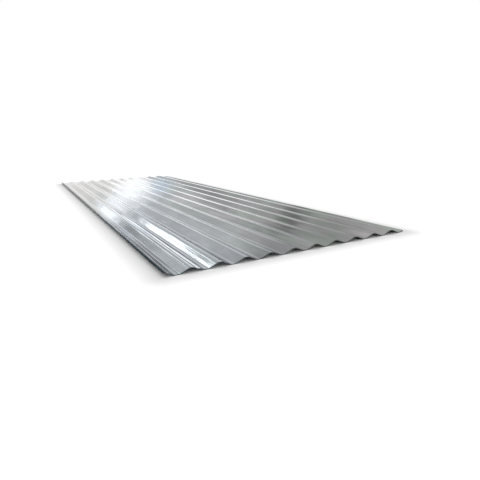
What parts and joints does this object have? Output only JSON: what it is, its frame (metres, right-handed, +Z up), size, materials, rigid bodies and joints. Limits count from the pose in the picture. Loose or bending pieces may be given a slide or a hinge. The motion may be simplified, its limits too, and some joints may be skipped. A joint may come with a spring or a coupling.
{
  "type": "corrugated metal sheet",
  "caption": "Roll-formed galvanised steel roofing sheet with shallow rounded corrugations along its length, lying flat.",
  "frame": {"origin": "on the floor under the middle of the sheet, at the underside of the valleys", "axes": "+Y along the corrugations, +X across them towards the edge that goes under the next sheet, +Z up"},
  "size_m": [0.8146, 2.438, 0.013],
  "materials": {
    "galvanised_steel": "bright galvanised"
  },
  "bodies": {
    "root": {"corrugated_sheet": "galvanised_steel"}
  },
  "joints": []
}
